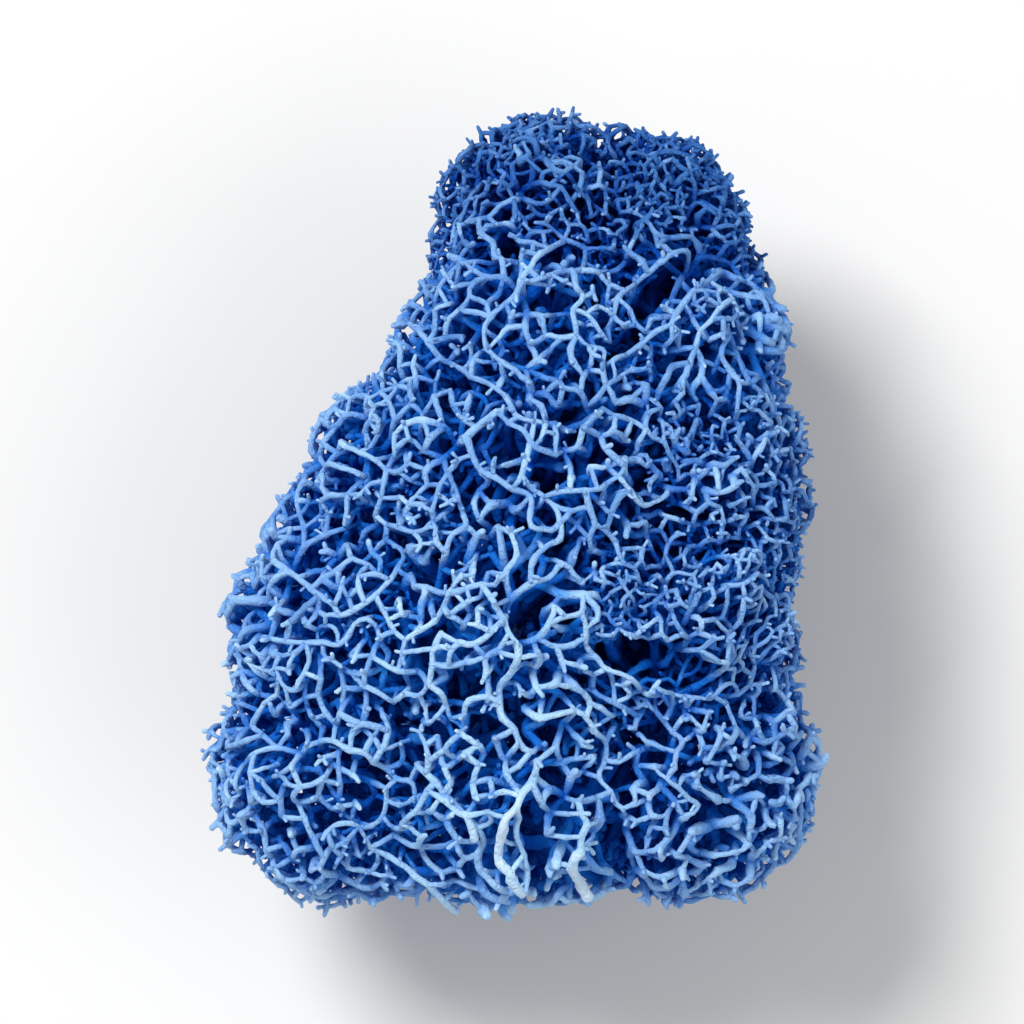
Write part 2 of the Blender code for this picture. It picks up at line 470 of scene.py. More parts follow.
def stem_to(pod, root, target, radius, active):
    """A stem inside the head, from a stalk to the foot of a branchlet that stands out."""
    base = tree.pos[root]
    last = root
    steps = max(3, int(np.linalg.norm(target - base) / 4.0))
    for s in range(1, steps + 1):
        t = s / steps
        p = base + (target - base) * t + rng.uniform(-0.6, 0.6, 3) * math.sin(math.pi * t)
        last = tree.add(p, last, 0.62 + (radius * 1.1 - 0.62) * t, pod, BRANCH)
        grid.add(p)
        if s > 1:
            active.append((2, rng.random(), last, unit(p - base), 2.6, 0.42))
    return last


def strand(radius, places, tops, active):
    """A branchlet that stands out on top, and the stem inside the head that carries it."""
    points = follow(places, 0.5, 1.3)
    pod = points[0][1]
    first = points[0][0]
    root = min(tops[pod], key=lambda k: float(np.linalg.norm(tree.pos[k] - first)))
    last = stem_to(pod, root, first - outward_at(pod, first) * 2.6, radius, active)
    count = len(points)
    radii = [radius * (1.0 - 0.22 * k / count) * rng.uniform(0.88, 1.12) for k in range(count)]
    lay([p for p, _ in points], radii, pod, last, active, [k > 0 for k in range(count)])


def bare_end(thin, thick, places, tops, active):
    """A pale branch that comes out of the net and runs out over the cushion's edge to its broken end, without side
    branches on its outer half."""
    points = follow(places, 0.25, 1.0)
    pod = max(set(q[1] for q in points), key=[q[1] for q in points].count)
    first = points[0][0]
    root = min(tops[pod], key=lambda k: float(np.linalg.norm(tree.pos[k] - first)))
    last = stem_to(pod, root, first - outward_at(pod, first) * 2.4, thin, active)
    count = len(points)
    spots, radii = [], []
    for k, (p, _) in enumerate(points):
        t = k / (count - 1)
        spots.append(p + outward_at(pod, p) * 0.55 * t)
        radii.append((thin + (thick - thin) * min(1.0, t * 1.3)) * rng.uniform(0.93, 1.07))
    begin = len(tree.pos)
    lay(spots, radii, pod, last, active, [k < count * 0.45 for k in range(count)])
    for k, node in enumerate(range(begin, len(tree.pos))):
        GLOW[node] = 0.10 + 0.42 * min(1.0, 1.5 * k / (count - 1))


def grow(active):
    """Every tip forks into 2 to 4 branchlets that make for free space, the first tips first, until the heads are
    full."""
    heapq.heapify(active)
    tips = []
    while active:
        gen, _, node, way, length, radius = heapq.heappop(active)
        i = tree.pod[node]
        here = tree.pos[node]
        depth = float(cushion_depth(here))
        scale = FINE[i] * float(coarseness(here))
        inside = float(inner(depth))
        least = SHORTEST * scale * (1.0 + 0.8 * inside)
        thin = THIN * scale**0.8 * (1.0 + 1.15 * inside)
        shallow = depth < 3.0
        want = 2 + (rng.random() < (0.55 if shallow else 0.45)) + (rng.random() < 0.12)
        spread = math.radians(72 if shallow else 56)
        steps = [length * rng.uniform(0.85, 1.15), least * rng.uniform(0.85, 1.1)]
        placed = []
        outward = unit(here - (HEAD[i] - LEAN[i] * TALL[i] * 0.75))
        found = grid.near(here, steps[0] + 2.0)
        crowd = np.array(found) if found else np.zeros((0, 3))
        if len(crowd):
            parent = tree.parent[node]
            back = (tree.pos[parent] + here) / 2 if parent >= 0 else here
            keep = (np.abs(crowd - here).max(1) > 1e-9) & (np.abs(crowd - back).max(1) > 1e-9)
            crowd = crowd[keep]
        for step in steps:
            if len(placed) >= want:
                break
            directions = cone_of_directions(way, spread, 26)
            ends = here + directions * step
            depths = cushion_depth(ends)
            room = wall_room(i, ends)
            fits = (depths > 0.42) & (room > -0.55 - 0.9 * inner(depths)) & (ends[:, 2] > 0.8)
            if not fits.any():
                continue
            directions, ends, depths = directions[fits], ends[fits], depths[fits]
            if len(crowd):
                gap = np.sqrt(((ends[:, None, :] - crowd[None]) ** 2).sum(2).min(1))
                middles = here + directions * step * 0.5
                mid_gap = np.sqrt(((middles[:, None, :] - crowd[None]) ** 2).sum(2).min(1))
            else:
                gap = mid_gap = np.full(len(ends), 9.0)
            need = spacing_at(i, ends, depths)
            good = (gap > need * min(1.0, 0.92 * step / least + 0.1)) & (mid_gap > need * 0.5)
            good &= ~in_hole(ends)
            if not good.any():
                continue
            directions, ends, gap, need, depths = (
                directions[good],
                ends[good],
                gap[good],
                need[good],
                depths[good],
            )
            score = (
                np.minimum(gap / need, 2.2)
                + 0.55 * (directions @ outward)
                + 0.25 * directions[:, 2]
                + rng.random(len(ends)) * 0.35
            )
            for k in np.argsort(-score):
                if len(placed) >= want:
                    break
                d = directions[k]
                if any(d @ other[0] > 0.64 for other in placed):
                    continue
                placed.append((d, ends[k], step))
        if not placed:
            tips.append((node, way))
            continue
        for d, end, step in placed:
            r = max(radius * rng.uniform(0.78, 0.9), thin * rng.uniform(0.88, 1.14))
            child = tree.add(end, node, r, i, BRANCH)
            grid.add(end)
            grid.add((end + here) / 2)
            new_length = max(step * rng.uniform(0.74, 0.88), least)
            heapq.heappush(active, (gen + 1, rng.random(), child, unit(d + outward * 0.18), new_length, r))
    return tips


def link_tips(tips):
    """Near the surface the branchlets reach across to each other and close into an open net."""
    pos = np.array(tree.pos)
    pods = np.array(tree.pod)
    count = len(pos)
    depth = cushion_depth(pos)
    ways = [[] for _ in range(count)]
    for k in range(count):
        parent = tree.parent[k]
        if parent >= 0:
            d = unit(pos[k] - pos[parent])
            ways[parent].append(d)
            ways[k].append(-d)
    surface = [k for k in range(count) if depth[k] < 2.6 and tree.kind[k] != STALK]
    kd = KDTree(len(surface))
    for n, k in enumerate(surface):
        kd.insert(pos[k], n)
    kd.balance()
    is_tip = np.zeros(count, bool)
    for node, _ in tips:
        is_tip[node] = True
    pairs = []
    for k in surface:
        if not is_tip[k]:
            continue
        scale = FINE[pods[k]] * float(coarseness(pos[k]))
        for co, n, far in kd.find_range(pos[k], 2.1 * SPACING * scale):
            other = surface[n]
            if other == k or far < 0.6 * SPACING * scale or (is_tip[other] and other < k):
                continue
            pairs.append((far * rng.uniform(0.85, 1.15), k, other, scale, far))
    pairs.sort()
    links = 0
    for _, a, b, scale, far in pairs:
        if len(ways[a]) >= 3 or len(ways[b]) >= (3 if is_tip[b] else 4):
            continue
        if tree.parent[a] == b or tree.parent[b] == a:
            continue
        d = (pos[b] - pos[a]) / far
        if any(float(w @ d) > 0.50 for w in ways[a]) or any(float(w @ -d) > 0.60 for w in ways[b]):
            continue
        middle = (pos[a] + pos[b]) / 2
        if in_hole(middle)[0]:
            continue
        clear = [q for q in kd.find_range(middle, 0.42 * SPACING * scale) if surface[q[1]] not in (a, b)]
        if clear or rng.random() < 0.10:
            continue
        ways[a].append(d)
        ways[b].append(-d)
        links += 1
        i = pods[a]
        out = outward_at(i, middle)
        bow = far * rng.uniform(-0.02, 0.16)
        r = THIN * scale**0.8 * rng.uniform(0.86, 1.05)
        middle = middle + out * bow + rng.uniform(-0.08, 0.08, 3)
        if pods[a] == pods[b]:
            first = tree.add(middle, a, r * 0.94, i, RAY)
            tree.add(pos[b], first, r, i, JOINED)
        else:
            tree.add(middle + d * 0.12, a, r * 0.86, pods[a], RAY)
            tree.add(middle - d * 0.12, b, r * 0.86, pods[b], RAY)
    return links, ways, depth


def add_prongs(tips, ways, depth):
    """Tips end in 1 to 3 short blunt prongs, as little antlers."""
    prongs = 0
    for node, way in tips:
        i = tree.pod[node]
        here = tree.pos[node]
        if tree.parent[node] < 0 or tree.kind[node] == STALK:
            continue
        deep = float(depth[node])
        scale = FINE[i] * float(coarseness(here))
        outward = outward_at(i, here)
        joined = len(ways[node])
        if deep > 4.0:
            count = 1
        elif deep > 2.2:
            count = 1
        else:
            count = max(0, 3 - joined) + (rng.random() < 0.45)
        made = []
        for _ in range(count * 4):
            if len(made) >= count:
                break
            spread = math.radians(80 if joined < 3 else 50)
            d = cone_of_directions(unit(way * 0.5 + outward * 0.8), spread, 1)[0]
            if any(float(d @ w) > 0.45 for w in ways[node]) or any(float(d @ w) > 0.35 for w in made):
                continue
            reach = rng.uniform(0.5, 0.95) * scale
            end = here + d * reach
            if end[2] < 0.6 or wall_room(i, end) < -0.6 or float(cushion_depth(end)) < -0.35:
                continue
            if in_hole(end)[0] and rng.random() < 0.7:
                continue
            made.append(d)
            r = max(tree.radius[node] * 0.72, 0.16) * rng.uniform(0.85, 1.0)
            tree.add(end, node, r, i, RAY)
            prongs += 1
    return prongs


def add_spurs(ways, depth):
    """Short thin spurs stand off the branchlets near the surface, most of them pointing out."""
    spurs = 0
    for node in range(len(depth)):
        parent = tree.parent[node]
        if parent < 0 or depth[node] > 1.7 or tree.kind[node] in (STALK, JOINED) or rng.random() > SPURS:
            continue
        i = tree.pod[node]
        a, b = tree.pos[parent], tree.pos[node]
        here = b if tree.kind[node] == BRANCH and rng.random() < 0.4 else a + (b - a) * rng.uniform(0.3, 0.8)
        if in_hole(here)[0]:
            continue
        along = unit(b - a)
        d = cone_of_directions(outward_at(i, here), math.radians(75), 1)[0]
        d = unit(d - along * float(d @ along) * 0.6)
        if d[2] > 0.82:
            continue
        end = here + d * (tree.radius[node] + rng.uniform(0.25, 0.70))
        if end[2] < 0.6 or float(cushion_depth(end)) < -0.5 or float(np.dot(d, ways[node][0])) > 0.7:
            continue
        tree.add(end, add_joint(here, node, i), 0.15 * rng.uniform(0.85, 1.15), i, RAY)
        spurs += 1
    return spurs


def add_joint(here, node, pod):
    """A starting point inside a branchlet for a spur, which its own run grows from."""
    return tree.add(here, -1, 0.17, pod, SPUR)


def old_twigs():
    """The dark inside is filled up with old broken twigs wherever the branches leave too much room."""
    pos = np.array(tree.pos)
    kd = KDTree(2 * len(pos))
    for k in range(len(pos)):
        kd.insert(pos[k], k)
        parent = tree.parent[k]
        kd.insert((pos[k] + pos[parent]) / 2 if parent >= 0 else pos[k], k)
    kd.balance()
    low, high = pos.min(0), pos.max(0)
    pitch = 1.9
    axes = [np.arange(low[c], high[c], pitch) for c in range(3)]
    spots = np.stack(np.meshgrid(*axes, indexing="ij"), -1).reshape(-1, 3)
    spots = spots + rng.uniform(-0.5, 0.5, spots.shape) * pitch
    deep = cushion_depth(spots)
    spots = spots[(deep > 3.0) & (spots[:, 2] > 9.0)]
    spots = spots[~in_hole(spots)]
    added = 0
    for p in spots:
        co, k, far = kd.find(p)
        if far < 1.25 or far > 4.0:
            continue
        base = tree.pos[k]
        way = unit(p - base)
        tree.add(p + way * 0.4, k, rng.uniform(0.34, 0.46), tree.pod[k], RAY)
        added += 1
    return added


EYE = np.array([0.0, -math.cos(math.radians(83.0)), math.sin(math.radians(83.0))]) * 900.0 + [0.0, 0.0, 26.0]


def on_sheet(p):
    """Where the sight lines from the eye through points cross the level of the cushion's middle."""
    p = p + SHIFT
    s = (26.0 - EYE[2]) / (p[..., 2] - EYE[2])
    return EYE[:2] + (p[..., :2] - EYE[:2]) * s[..., None]


def shut_gaps():
    """More old twigs, deep down, where one would still see right through the cushion to what it rests on."""
    cell, low, size = 0.2, -42.0, 420
    cover = np.zeros((size, size), bool)

    def mark(points, radii):
        at = (on_sheet(points) - low) / cell
        for least, most, window in ((0.0, 0.42, 2), (0.42, 9.0, 4)):
            some = (radii >= least) & (radii < most)
            spot, square = at[some], (radii[some] - 0.08) ** 2
            for dx in range(-window, window + 1):
                for dy in range(-window, window + 1):
                    c = np.floor(spot).astype(int) + [dx, dy]
                    off = (c + 0.5 - spot) * cell
                    c = np.clip(c[(off * off).sum(-1) < square], 0, size - 1)
                    cover[c[:, 0], c[:, 1]] = True

    def rods(a, b, ra, rb):
        for t in np.arange(0.0, 1.01, 0.1):
            mark(a + (b - a) * t, ra + (rb - ra) * t)

    pos, parent, radius = np.array(tree.pos), np.array(tree.parent), np.array(tree.radius)
    has = parent >= 0
    rods(pos[parent[has]], pos[has], radius[has], radius[has])
    # the sight lines that go through enough of the cushion
    axis = low + (np.arange(size) + 0.5) * cell
    sheet = np.stack(np.meshgrid(axis, axis, indexing="ij"), -1).reshape(-1, 2)
    ways = np.concatenate([sheet, np.full((len(sheet), 1), 26.0)], 1) - EYE
    ways /= np.linalg.norm(ways, axis=1)[:, None]
    deepest = np.full(len(sheet), -9.0)
    for z in np.arange(10.0, 44.0, 2.0):
        p = EYE + ways * ((z - EYE[2]) / ways[:, 2])[:, None] - SHIFT
        deepest = np.maximum(deepest, cushion_depth(p))
    todo = np.flatnonzero((deepest > 1.8) & ~cover.ravel())
    rng.shuffle(todo)
    depth = cushion_depth(pos)
    usable = np.flatnonzero((depth > 2.2) & (pos[:, 2] > 8.0) & ~in_hole(pos))
    flat = on_sheet(pos[usable])
    kd = KDTree(len(usable))
    for n in range(len(usable)):
        kd.insert((flat[n, 0], flat[n, 1], 0.0), n)
    kd.balance()
    added = 0
    for k in todo:
        x, y = divmod(int(k), size)
        if cover[x, y]:
            continue
        near = kd.find_n((sheet[k, 0], sheet[k, 1], 0.0), 14)
        best = max(near, key=lambda q: min(depth[usable[q[1]]], 7.0) - 2.0 * q[2])
        node = int(usable[best[1]])
        base = pos[node]
        p = EYE + ways[k] * ((base[2] + rng.uniform(-0.6, 0.6) - EYE[2]) / ways[k, 2]) - SHIFT
        end = p + unit(p - base + 1e-6) * 0.45
        r = rng.uniform(0.38, 0.50)
        tree.add(end, node, r, tree.pod[node], RAY)
        rods(base[None], end[None], np.array([r]), np.array([r * 0.9]))
        added += 1
    return len(todo), added


active = []
tops = [stalks(i, active) for i in range(COUNT)]
for radius, places in STRANDS:
    strand(radius, places, tops, active)
for thin, thick, places in BARE:
    bare_end(thin, thick, places, tops, active)
tips = grow(active)
print("GROWTH forks", len(tree.pos), "tips", len(tips), "seconds", round(time.time() - clock, 1))
links, ways, depth_then = link_tips(tips)
rays = add_prongs(tips, ways, depth_then)
print("LINKS", links, "PRONGS", rays, "SPURS", add_spurs(ways, depth_then), "seconds", round(time.time() - clock, 1))
print("TWIGS", old_twigs(), "GAPS", shut_gaps(), "seconds", round(time.time() - clock, 1))

POS = np.array(tree.pos)
PARENT = np.array(tree.parent)
RADIUS = np.array(tree.radius)
POD = np.array(tree.pod)
KIND = np.array(tree.kind)
N = len(POS)
DEPTH = cushion_depth(POS)
PALE_AND_LIT = np.zeros(N)
# painted highlight: the branchlets that stand out on top are painted lighter
PALE_AND_LIT[KIND == STRAND] = 0.07
# the bare broken ends are lighter in their own colour
for node, more in GLOW.items():
    PALE_AND_LIT[node] = more


def dye_at(p):
    """The depth of the dye, which runs softly from one head into the next."""
    depths = all_depths(p)
    weights = np.exp((depths - depths.max(-1)[..., None]) / 1.9)
    return (weights * DYE).sum(-1) / weights.sum(-1)


# ------------------------------------------------------------------------------------------------------------
# How open each place is to the sky, which is painted into the colour as shade
# ------------------------------------------------------------------------------------------------------------
def openness(points):
    """The share of light from round about that gets through the branchlets to each point."""
    cell = 1.1
    low = POS.min(0) - 2 * cell
    shape = np.ceil((POS.max(0) + 2 * cell - low) / cell).astype(int) + 1
    mass = np.zeros(shape)
    has = PARENT >= 0
    a, b = POS[PARENT[has]], POS[has]
    length = np.linalg.norm(b - a, axis=1)
    area = 2 * RADIUS[has] * length  # side-on area
    for t in (0.1, 0.3, 0.5, 0.7, 0.9):
        at = np.floor(((a + (b - a) * t) - low) / cell).astype(int)
        np.add.at(mass, tuple(at.T), area / 5)
    blocked = mass / cell**3 * 0.75  # per mm of path
    golden = math.pi * (3 - math.sqrt(5))
    n = 40
    total = np.zeros(len(points))
    weights = 0.0
    for k in range(n):
        z = 1 - 2 * (k + 0.5) / n
        r = math.sqrt(1 - z * z)
        d = np.array([r * math.cos(golden * k), r * math.sin(golden * k), z])
        weight = 0.12 if z < -0.3 else max(0.15, 0.55 + 0.45 * z)
        along = np.zeros(len(points))
        for s in np.arange(0.75, 20.0, 1.1):
            at = np.floor((points + d * s - low) / cell).astype(int)
            ok = ((at >= 0) & (at < shape)).all(1)
            idx = np.clip(at, 0, shape - 1)
            along += np.where(ok, blocked[tuple(idx.T)], 0.0) * 1.1
        total += weight * np.exp(-along)
        weights += weight
    return total / weights


# painted shade: the share of light that gets through to each node goes into the colour, so shut-in places are painted
# darker
OPEN = openness(POS)
print("OPEN percentiles", np.percentile(OPEN, [2, 10, 25, 50, 75, 90, 98]).round(3))
top = DEPTH < 1.2
print("OPEN on top", np.percentile(OPEN[top], [2, 10, 25, 50, 75, 90, 98]).round(3), "seconds", round(time.time() - clock, 1))


# ------------------------------------------------------------------------------------------------------------
# Tubes
# ------------------------------------------------------------------------------------------------------------
children = [[] for _ in range(N)]
for k in range(N):
    if PARENT[k] >= 0:
        children[PARENT[k]].append(k)


def paths_of(pod):
    """Runs of nodes, each from a fork to a tip. At a fork the straightest thick child carries the run on."""
    runs = []
    starts = [(k, None) for k in range(N) if POD[k] == pod and PARENT[k] < 0 and children[k]]
    while starts:
        node, before = starts.pop()
        run = [] if before is None else [before]
        run.append(node)
        while children[node]:
            kids = children[node]
            if PARENT[node] < 0:
                best = kids[0]
            else:
                back = unit(POS[node] - POS[PARENT[node]])
                best = max(kids, key=lambda c: float(unit(POS[c] - POS[node]) @ back) + RADIUS[c] * 1.5)
            for c in kids:
                if c != best:
                    starts.append((c, node))
            run.append(best)
            node = best
        runs.append((run, before is not None or KIND[run[0]] == SPUR))
    return runs


def path_rings(run, forked, fine_steps):
    """The ring centres, radii and colour numbers along one run, bent smoothly through its nodes. The more steps, the
    closer the rings are."""
    p = POS[run]
    r = RADIUS[run].copy()
    if forked:
        r[0] = min(r[0], r[1]) * 1.04
    o = np.stack([SHADE[run], PALE_AND_LIT[run]], 1)
    m = len(p)
    tangent = np.zeros_like(p)
    tangent[1:-1] = (p[2:] - p[:-2]) * 0.5
    tangent[0] = p[1] - p[0]
    tangent[-1] = p[-1] - p[-2]
    centres, radii, shades = [], [], []
    for k in range(m - 1):
        seg = np.linalg.norm(p[k + 1] - p[k])
        if fine_steps == 2:
            pieces = max(1, min(7, round(seg / 0.52)))
        elif fine_steps == 1:
            pieces = 1 if seg < 0.9 else (2 if seg < 2.2 else 3 if seg < 4.0 else 5)
        else:
            pieces = 1 if seg < 2.2 else 2
        t0 = tangent[k] / max(np.linalg.norm(tangent[k]), 1e-9) * seg
        t1 = tangent[k + 1] / max(np.linalg.norm(tangent[k + 1]), 1e-9) * seg
        for j in range(pieces):
            t = j / pieces
            h00 = 2 * t**3 - 3 * t**2 + 1
            h10 = t**3 - 2 * t**2 + t
            h01 = -2 * t**3 + 3 * t**2
            h11 = t**3 - t**2
            centres.append(h00 * p[k] + h10 * t0 + h01 * p[k + 1] + h11 * t1)
            radii.append((r[k] + (r[k + 1] - r[k]) * t) * (1.0 - 0.12 * math.sin(math.pi * t)))
            shades.append(o[k] + (o[k + 1] - o[k]) * t)
    last_way = unit(p[-1] - centres[-1])
    tip = r[-1]
    if KIND[run[-1]] == JOINED or not fine_steps:
        centres.append(p[-1])
        radii.append(tip * 0.95)
        shades.append(o[-1])
    else:  # a rounded end
        centres.append(p[-1] - last_way * tip * 0.35)
        radii.append(tip)
        shades.append(o[-1])
        centres.append(p[-1] + last_way * tip * 0.25)
        radii.append(tip * 0.74)
        shades.append(o[-1])
    return centres, radii, shades


def tubes(runs, sides, fine_steps, seed, pod):
    """The vertices, faces and colour numbers of a set of runs with the same number of sides."""
    all_c, all_r, all_o, starts, lengths = [], [], [], [], []
    total = 0
    for run, forked in runs:
        c, r, o = path_rings(run, forked, fine_steps)
        starts.append(total)
        lengths.append(len(c))
        total += len(c)
        all_c.extend(c)
        all_r.extend(r)
        all_o.extend(o)
    centre, radius = np.array(all_c), np.array(all_r)
    local = np.random.default_rng(seed)
    if fine_steps:
        centre = centre + local.uniform(-0.035, 0.035, centre.shape)
    shade, pale_and_lit = np.array(all_o).T
    starts, lengths = np.array(starts), np.array(lengths)
    first = np.zeros(total, bool)
    first[starts] = True
    last = np.zeros(total, bool)
    last[starts + lengths - 1] = True
    here = np.arange(total)
    tangent = centre[np.where(last, here, np.minimum(here + 1, total - 1))] - centre[
        np.where(first, here, np.maximum(here - 1, 0))
    ]
    tangent /= np.maximum(np.linalg.norm(tangent, axis=1), 1e-9)[:, None]
    # frames carried along each run without twist, all runs at once
    u = np.zeros_like(centre)
    ref = np.where(np.abs(tangent[starts, 2:3]) > 0.8, [[1.0, 0.2, 0.1]], [[0.1, 0.2, 1.0]])
    now = np.cross(tangent[starts], ref)
    now /= np.linalg.norm(now, axis=1)[:, None]
    u[starts] = now
    for step in range(1, lengths.max()):
        at = starts[lengths > step] + step
        t = tangent[at]
        v = u[at - 1]
        v = v - (v * t).sum(1)[:, None] * t
        v /= np.maximum(np.linalg.norm(v, axis=1), 1e-9)[:, None]
        u[at] = v
    w = np.cross(tangent, u)
    angle = np.arange(sides) * 2 * math.pi / sides
    # slightly uneven round the ring and along it, like the wrinkled surface of the dried branchlets
    wobble = 1.0 + 0.06 * np.sin(2 * angle[None, :] + (here * 0.7)[:, None] % 6.28)
    wobble *= 1.0 + local.uniform(-0.08, 0.08, (total, sides)) + local.uniform(-0.10, 0.10, total)[:, None]
    ring = centre[:, None, :] + (radius[:, None] * wobble)[:, :, None] * (
        np.cos(angle)[None, :, None] * u[:, None, :] + np.sin(angle)[None, :, None] * w[:, None, :]
    )
    verts = ring.reshape(-1, 3)
    poles = centre[last] + tangent[last] * (radius[last] * 0.45)[:, None]
    pole_index = np.full(total, -1)
    pole_index[np.flatnonzero(last)] = len(verts) + np.arange(last.sum())
    verts = np.vstack([verts, poles])
    k = np.arange(sides)
    k1 = (k + 1) % sides
    body = np.flatnonzero(~last)[:, None]
    quads = np.stack([body * sides + k, body * sides + k1, (body + 1) * sides + k1, (body + 1) * sides + k], -1)
    quads = quads.reshape(-1, 4)
    ends = np.flatnonzero(last)
    tris = np.stack(
        [ends[:, None] * sides + k, ends[:, None] * sides + k1, np.repeat(pole_index[ends][:, None], sides, 1)], -1
    ).reshape(-1, 3)
    caps = starts[:, None] * sides + k[::-1][None, :]
    wander = (
        np.sin(centre @ [0.31, 0.23, 0.17] + pod)
        + np.sin(centre @ [-0.21, 0.37, 0.29] + 2.0 * pod)
        + 0.8 * np.sin(centre @ [0.83, -0.71, 0.52])
    ) / 2.8
    run_of = np.repeat(np.arange(len(starts)), lengths)
    own = local.normal(0, 1, len(starts))[run_of]
    own = np.clip(own, -2, 2) * 0.10 + 0.12 * (own > 1.2)
    tint = 0.5 + 0.17 * wander + own - 0.85 * (dye_at(centre) - 0.42)
    # the tint takes in the painted highlight on the branchlets that stand out on top, and the own lighter colour of the
    # bare broken ends
    tint = 0.8 * np.clip(tint, 0.0, 1.0) + 0.4 * pale_and_lit
    jitter = local.uniform(-0.07, 0.07, (total, sides))
    tint_v = np.concatenate([(tint[:, None] + jitter).ravel(), tint[last]])
    shade_v = np.concatenate([(shade[:, None] + jitter * 0.4).ravel(), shade[last]])
    return verts, quads, tris, caps, shade_v, tint_v


def build_piece(pod):
    runs = [(run, forked) for run, forked in paths_of(pod) if len(run) > 1]
    groups = {}
    for run, forked in runs:
        seen = float(OPEN[run].max())
        if seen < 0.13 and KIND[run[0]] != STALK:
            key = (4, 0)
        elif float(RADIUS[run[1:]].max()) > 0.33 and seen > 0.2:
            key = (7, 2)
        elif seen > 0.30:
            key = (6, 2)
        elif seen > 0.22:
            key = (6, 1)
        else:
            key = (5, 1)
        groups.setdefault(key, []).append((run, forked))
    verts, shade, tint, loops, sizes = [], [], [], [], []
    base = 0
    triangles = 0
    for n, (key, members) in enumerate(sorted(groups.items())):
        sides, fine_steps = key
        v, quads, tris, caps, s, t = tubes(members, sides, fine_steps, pod * 10 + n, pod)
        verts.append(v)
        shade.append(s)
        tint.append(t)
        for faces, corners in ((quads, 4), (tris, 3), (caps, sides)):
            if len(faces):
                loops.append((faces + base).ravel())
                sizes.append(np.full(len(faces), corners))
                triangles += len(faces) * (corners - 2)
        base += len(v)
    verts = np.vstack(verts) + SHIFT
    verts[:, 2] = np.maximum(verts[:, 2], 0.0)
    shade, tint = np.concatenate(shade), np.concatenate(tint)
    loops, sizes = np.concatenate(loops), np.concatenate(sizes)
    name = NAMES[pod] + "_branchlets"
    me = bpy.data.meshes.new(name)
    me.vertices.add(len(verts))
    me.vertices.foreach_set("co", (verts * 0.001).astype(np.float32).ravel())
    me.loops.add(len(loops))
    me.loops.foreach_set("vertex_index", loops.astype(np.int32))
    me.polygons.add(len(sizes))
    begin = np.concatenate([[0], np.cumsum(sizes)[:-1]])
    me.polygons.foreach_set("loop_start", begin.astype(np.int32))
    me.polygons.foreach_set("loop_total", sizes.astype(np.int32))
    me.update(calc_edges=True)
    me.shade_smooth()
    # colour numbers: the painted shade from how open the place is and how deep it lies, and a tint that wanders from
    # branchlet to branchlet
    shade = np.clip(shade, 0.01, 0.99)
    tint = np.clip(tint, 0.01, 0.99)
    a = me.attributes.new("openness", "FLOAT", "POINT")
    a.data.foreach_set("value", shade.astype(np.float32))
    b = me.attributes.new("tint", "FLOAT", "POINT")
    b.data.foreach_set("value", tint.astype(np.float32))

    def spread(x):
        low, high = x.min(), x.max()
        return 0.02 + 0.96 * (x - low) / max(high - low, 1e-6)

    uv = me.uv_layers.new(name="OFBake", do_init=False)
    pair = np.stack([spread(shade)[loops], spread(tint)[loops]], 1)
    uv.uv.foreach_set("vector", pair.astype(np.float32).ravel())
    ob = bpy.data.objects.new(name, me)
    bpy.context.scene.collection.objects.link(ob)
    return ob, triangles


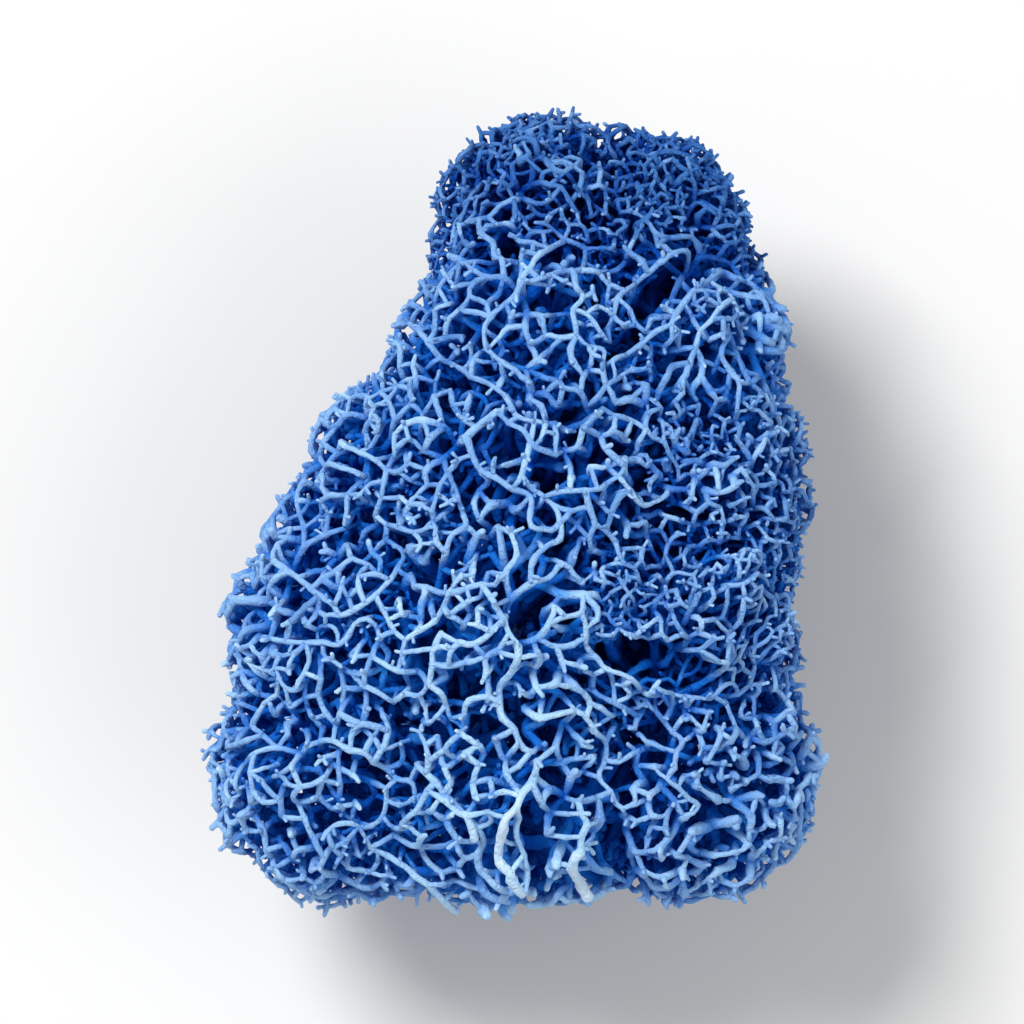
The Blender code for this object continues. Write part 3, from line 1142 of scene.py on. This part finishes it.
# ------------------------------------------------------------------------------------------------------------
# Dyed lichen, with painted shade
# ------------------------------------------------------------------------------------------------------------
def dyed_lichen_with_painted_shade():
    m = bpy.data.materials.new("dyed_lichen_with_painted_shade")
    m.use_nodes = True
    nt = m.node_tree
    bsdf = nt.nodes["Principled BSDF"]
    link = nt.links.new

    def node(kind, **values):
        n = nt.nodes.new(kind)
        for key, value in values.items():
            setattr(n, key, value)
        return n

    at = node("ShaderNodeAttribute", attribute_name="openness")
    ti = node("ShaderNodeAttribute", attribute_name="tint")
    both = node("ShaderNodeCombineXYZ")
    link(at.outputs["Fac"], both.inputs[0])
    link(ti.outputs["Fac"], both.inputs[1])
    mottle = node("ShaderNodeTexNoise")
    mottle.inputs["Scale"].default_value = 34.0
    mottle.inputs["Detail"].default_value = 2.0
    link(both.outputs[0], mottle.inputs["Vector"])
    # openness, nudged by the mottling, along the dye's colours as painted shade darkens them
    shade = node("ShaderNodeMath", operation="MULTIPLY_ADD")
    link(mottle.outputs["Fac"], shade.inputs[0])
    shade.inputs[1].default_value = 0.10
    link(at.outputs["Fac"], shade.inputs[2])
    ramp = node("ShaderNodeValToRGB")
    link(shade.outputs[0], ramp.inputs["Fac"])
    cr = ramp.color_ramp
    while len(cr.elements) < len(DYE_UNDER_PAINTED_SHADE):
        cr.elements.new(0.5)
    for e, (place, rgb) in zip(cr.elements, DYE_UNDER_PAINTED_SHADE):
        e.position = place
        e.color = (*rgb, 1.0)
    tint_ramp = node("ShaderNodeValToRGB")
    link(ti.outputs["Fac"], tint_ramp.inputs["Fac"])
    tr = tint_ramp.color_ramp
    while len(tr.elements) < len(TINT_RANGE):
        tr.elements.new(0.5)
    for e, (place, rgb) in zip(tr.elements, TINT_RANGE):
        e.position = place
        e.color = (*rgb, 1.0)
    mix = node("ShaderNodeMix", data_type="RGBA", blend_type="MULTIPLY")
    mix.inputs["Factor"].default_value = 1.0
    link(ramp.outputs["Color"], mix.inputs["A"])
    link(tint_ramp.outputs["Color"], mix.inputs["B"])
    link(mix.outputs["Result"], bsdf.inputs["Base Color"])
    # felt-like surface
    where = node("ShaderNodeTexCoord")
    fuzz = node("ShaderNodeTexNoise")
    fuzz.inputs["Scale"].default_value = 3000.0
    fuzz.inputs["Detail"].default_value = 2.0
    fuzz.inputs["Roughness"].default_value = 0.6
    link(where.outputs["Object"], fuzz.inputs["Vector"])
    bump = node("ShaderNodeBump")
    bump.inputs["Strength"].default_value = 1.0
    bump.inputs["Distance"].default_value = 0.0003
    link(fuzz.outputs["Fac"], bump.inputs["Height"])
    link(bump.outputs["Normal"], bsdf.inputs["Normal"])
    rough = node("ShaderNodeMapRange")
    link(mottle.outputs["Fac"], rough.inputs["Value"])
    rough.inputs["To Min"].default_value = 0.70
    rough.inputs["To Max"].default_value = 0.95
    link(rough.outputs["Result"], bsdf.inputs["Roughness"])
    bsdf.inputs["Specular IOR Level"].default_value = 0.07
    return m


# The dye's colour under painted shade, from the shut-in inside of a head, painted dark, to its open top.
DYE_UNDER_PAINTED_SHADE = [
    (0.04, (0.000, 0.079, 0.505)),
    (0.18, (0.001, 0.094, 0.525)),
    (0.30, (0.010, 0.144, 0.590)),
    (0.42, (0.076, 0.244, 0.690)),
    (0.60, (0.215, 0.420, 0.790)),
    (0.80, (0.270, 0.490, 0.850)),
]
# How much of each colour is left from the deepest dyed branchlets to the palest, and to the bare broken ends.
TINT_RANGE = [
    (0.03, (0.18, 0.35, 0.58)),
    (0.20, (0.48, 0.62, 0.78)),
    (0.40, (0.90, 0.95, 0.99)),
    (0.74, (1.53, 1.38, 1.17)),
    (0.84, (1.78, 1.51, 1.17)),
    (1.00, (2.45, 1.66, 1.17)),
]
# painted shade: darker where less light gets through and the deeper a place lies under the cushion's surface
SHADE = np.clip(OPEN * (0.45 + 0.75 * np.exp(-np.maximum(DEPTH - 0.5, 0.0) / 2.4)), 0.01, 0.99)
# painted highlight: the branchlets that stand out on top are painted lighter
SHADE[KIND == STRAND] += 0.06

lichen = dyed_lichen_with_painted_shade()
total_triangles = 0
for pod in range(COUNT):
    ob, triangles = build_piece(pod)
    ob.data.materials.append(lichen)
    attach(ob, "root")
    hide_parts(NAMES[pod])
    total_triangles += triangles
    print("PIECE", ob.name, triangles)
print("TRIANGLES", total_triangles, "seconds", round(time.time() - clock, 1))


# ------------------------------------------------------------------------------------------------------------
# Floor, light and camera
# ------------------------------------------------------------------------------------------------------------
def pale_floor():
    me = bpy.data.meshes.new("floor")
    s = 1.6
    me.from_pydata([(-s, -s, 0), (s, -s, 0), (s, s, 0), (-s, s, 0)], [], [(0, 1, 2, 3)])
    ob = bpy.data.objects.new("floor", me)
    ob.location.z = -0.0002
    bpy.context.scene.collection.objects.link(ob)
    m = bpy.data.materials.new("floor")
    m.use_nodes = True
    b = m.node_tree.nodes["Principled BSDF"]
    b.inputs["Base Color"].default_value = (0.80, 0.80, 0.79, 1.0)
    b.inputs["Roughness"].default_value = 0.9
    me.materials.append(m)


def area_light(name, place, target, size, power):
    light = bpy.data.lights.new(name, "AREA")
    light.size = size
    light.energy = power
    ob = bpy.data.objects.new(name, light)
    ob.location = place
    ob.rotation_euler = (Vector(target) - Vector(place)).to_track_quat("-Z", "Y").to_euler()
    bpy.context.scene.collection.objects.link(ob)


def camera(elevation, distance, view, target):
    cam = bpy.data.cameras.new("camera")
    cam.sensor_width = 36.0
    cam.lens = 36.0 * distance / view
    cam.clip_start = 0.01
    cam.clip_end = 20.0
    ob = bpy.data.objects.new("camera", cam)
    e = math.radians(elevation)
    t = Vector(target)
    ob.location = t + Vector((0.0, -math.cos(e), math.sin(e))) * distance
    ob.rotation_euler = (t - ob.location).to_track_quat("-Z", "Y").to_euler()
    bpy.context.scene.collection.objects.link(ob)
    bpy.context.scene.camera = ob


pale_floor()
area_light("key", (-0.35, 0.30, 0.75), (0, 0, 0.02), 0.30, 6.5)
area_light("fill", (0.6, -0.3, 0.6), (0, 0, 0.02), 0.8, 2.5)
world = bpy.data.worlds.new("studio")
world.use_nodes = True
world.node_tree.nodes["Background"].inputs["Color"].default_value = (1, 1, 1, 1)
world.node_tree.nodes["Background"].inputs["Strength"].default_value = 0.42
bpy.context.scene.world = world
bpy.context.scene.view_settings.view_transform = "Standard"
camera(83.0, 0.9, 0.090, (0.0, 0.0, 0.026))
